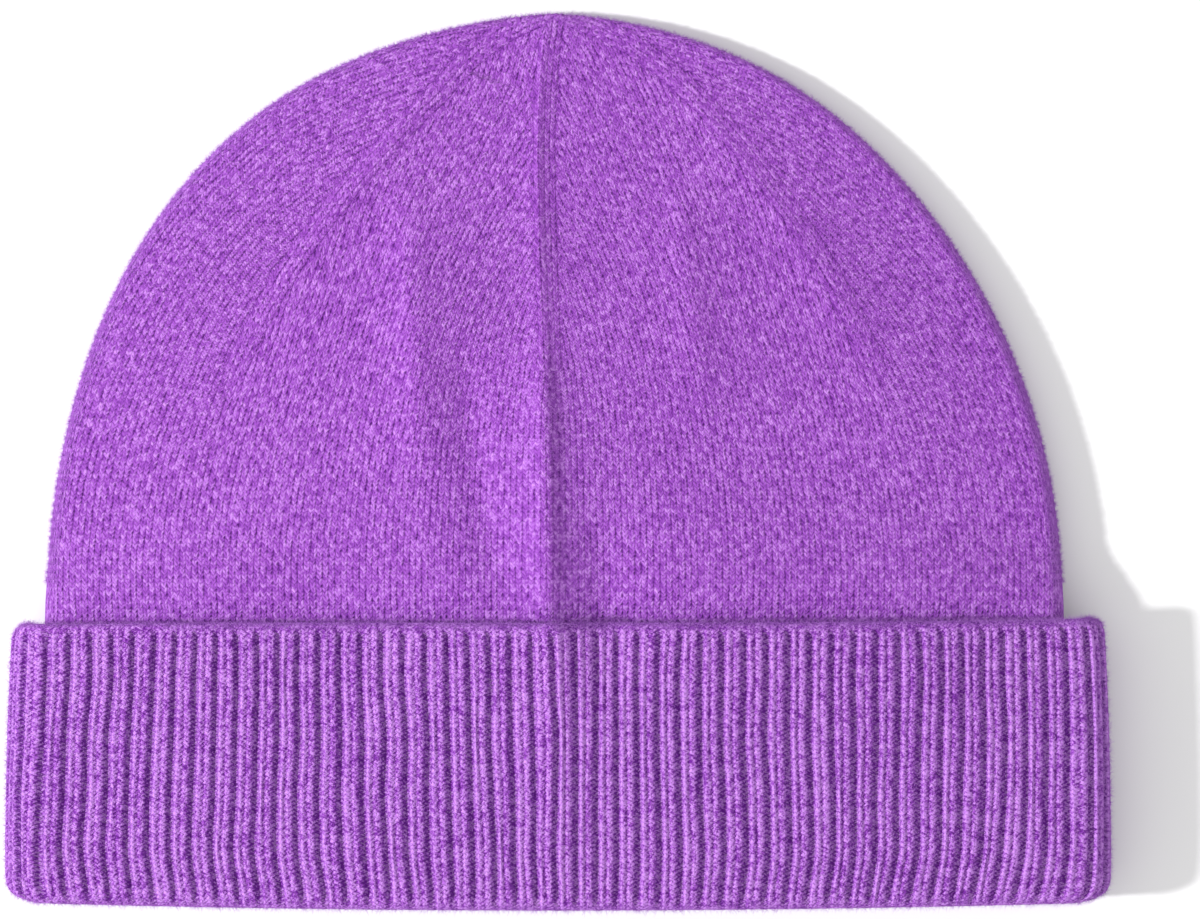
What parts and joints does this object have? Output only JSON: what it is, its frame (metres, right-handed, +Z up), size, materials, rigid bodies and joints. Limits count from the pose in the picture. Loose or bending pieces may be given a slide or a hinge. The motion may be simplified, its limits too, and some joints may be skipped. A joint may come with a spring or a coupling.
{
  "type": "beanie",
  "caption": "Knitted beanie lying flat: smooth rounded crown with a crease down the middle and soft folds, ribbed cuff turned up, open at the fold.",
  "frame": {"origin": "on the surface that the beanie lies on, under the middle of its box", "axes": "+X across the beanie to the right, +Y from the fold of the cuff to the crown's tip, +Z up out of the surface"},
  "size_m": [0.2338, 0.19, 0.0271],
  "materials": {
    "crown_knit": "plain knit in soft purple yarn",
    "cuff_rib": "two by two rib in the same yarn"
  },
  "bodies": {
    "root": {"crown": "crown_knit", "cuff": "cuff_rib"}
  },
  "joints": []
}
